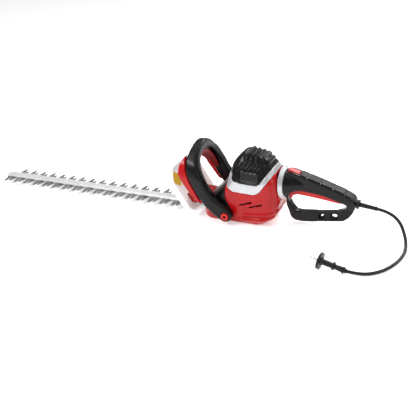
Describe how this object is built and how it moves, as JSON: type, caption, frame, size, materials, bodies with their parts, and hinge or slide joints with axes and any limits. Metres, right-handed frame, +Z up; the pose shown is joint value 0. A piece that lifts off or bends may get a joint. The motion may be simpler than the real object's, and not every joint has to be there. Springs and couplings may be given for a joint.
{
  "type": "hedge trimmer",
  "caption": "Corded hedge trimmer with two reciprocating toothed blades under a guide bar, a hoop front handle and a swivelling rear grip.",
  "frame": {"origin": "middle of the motor axis on the flat resting face under the housing", "axes": "+X to the rear handle, -X along the blades, +Z up"},
  "size_m": [1.1707, 0.2718, 0.1915],
  "materials": {
    "red_shell": "glossy, lightly textured",
    "black_shell": "satin, fine grain",
    "black_cover": "satin",
    "badge_black": "smooth, blank",
    "silver_trim": "silver paint",
    "red_control": "satin",
    "soft_grip": "matt",
    "guide_aluminium": "brushed",
    "blade_steel": "ground",
    "screw_steel": "zinc plated",
    "gear_steel": "machined",
    "motor_iron": "laminated",
    "copper": "enamelled",
    "bronze": "sintered",
    "carbon": "carbon",
    "fan_plastic": "glass-filled",
    "guard_clear": "milky, translucent",
    "yellow_patch": "printed film",
    "cord_rubber": "satin",
    "pin_nickel": "nickel plated"
  },
  "bodies": {
    "housing": {"badge_plate": "badge_black", "bar_screws": "screw_steel", "bar_tip_block": "black_shell", "base_plate": "guide_aluminium", "bearing_bridge": "black_shell", "blade_screws": "screw_steel", "brush_holders": "bronze", "brushes": "carbon", "field_coils": "copper", "front_handle_left": "black_shell", "front_handle_right": "black_shell", "front_shell_left": "red_shell", "front_shell_right": "red_shell", "gear_case": "guide_aluminium", "guard": "guard_clear", "guard_bracket": "red_shell", "guard_patch": "yellow_patch", "guard_screws": "screw_steel", "guide_bar": "guide_aluminium", "handle_bolts": "screw_steel", "handle_cap_left": "red_control", "handle_cap_right": "red_control", "handle_saddle": "black_shell", "housing_left": "red_shell", "housing_right": "red_shell", "lower_bush": "bronze", "motor_bearing_lower": "screw_steel", "motor_bearing_upper": "screw_steel", "stator_core": "motor_iron", "swivel_collar": "silver_trim", "top_cover": "black_cover", "trim_band": "silver_trim"},
    "drive_gear": {"drive_gear": "gear_steel", "gear_shaft": "gear_steel", "upper_eccentric": "gear_steel", "lower_eccentric": "gear_steel"},
    "armature": {"armature_shaft": "gear_steel", "armature_core": "motor_iron", "commutator": "copper", "cooling_fan": "fan_plastic"},
    "upper_blade": {"upper_blade": "blade_steel"},
    "lower_blade": {"lower_blade": "blade_steel"},
    "switch_bar": {"front_switch_bar": "red_control"},
    "trigger": {"trigger": "red_control"},
    "lock_button": {"lock_button": "red_control"},
    "rear_handle": {"rear_shell_left": "black_shell", "rear_shell_right": "black_shell", "swivel_spigot": "fan_plastic", "grip_pad_1": "soft_grip", "grip_pad_2": "soft_grip", "grip_pad_3": "soft_grip", "grip_pad_4": "soft_grip", "grip_pad_5": "soft_grip", "trigger_pin": "screw_steel", "switch_module": "black_shell", "cord": "cord_rubber", "cord_gland": "cord_rubber", "plug_body": "cord_rubber", "plug_pin_a": "pin_nickel", "plug_pin_b": "pin_nickel"}
  },
  "joints": [
    {"name": "drive_gear_spin", "type": "hinge", "parent": "housing", "child": "drive_gear", "pos_m": [-0.045, 0, 0], "axis": [0, 0, 1], "continuous": true},
    {"name": "armature_spin", "type": "hinge", "parent": "housing", "child": "armature", "pos_m": [0, 0, 0], "axis": [0, 0, 1], "continuous": true},
    {"name": "upper_blade_slide", "type": "slide", "parent": "housing", "child": "upper_blade", "axis": [1, 0, 0], "range_m": [-0.001, 0.008]},
    {"name": "lower_blade_slide", "type": "slide", "parent": "housing", "child": "lower_blade", "axis": [1, 0, 0], "range_m": [-0.008, 0.001]},
    {"name": "switch_bar_press", "type": "slide", "parent": "housing", "child": "switch_bar", "axis": [-0.3, 0, 0.9539], "range_m": [0, 0.0035], "stiffness_N_per_m": 1500, "springref_m": -0.002},
    {"name": "rear_handle_swivel", "type": "hinge", "parent": "housing", "child": "rear_handle", "pos_m": [0.08, 0, 0.102], "axis": [1, 0, 0], "range_deg": [-90, 90]},
    {"name": "trigger_press", "type": "hinge", "parent": "rear_handle", "child": "trigger", "pos_m": [0.2115, 0, 0.0735], "axis": [0, 1, 0], "range_deg": [0, 3.5], "stiffness_Nm_per_rad": 3, "springref_deg": -2.86},
    {"name": "lock_button_press", "type": "slide", "parent": "rear_handle", "child": "lock_button", "axis": [0, 0, -1], "range_m": [0, 0.003], "stiffness_N_per_m": 1200, "springref_m": -0.001}
  ],
  "couplings": [
    {"joint": "armature_spin", "follows": "drive_gear_spin", "ratio": -5.6667},
    {"joint": "lower_blade_slide", "follows": "upper_blade_slide", "ratio": -1}
  ]
}
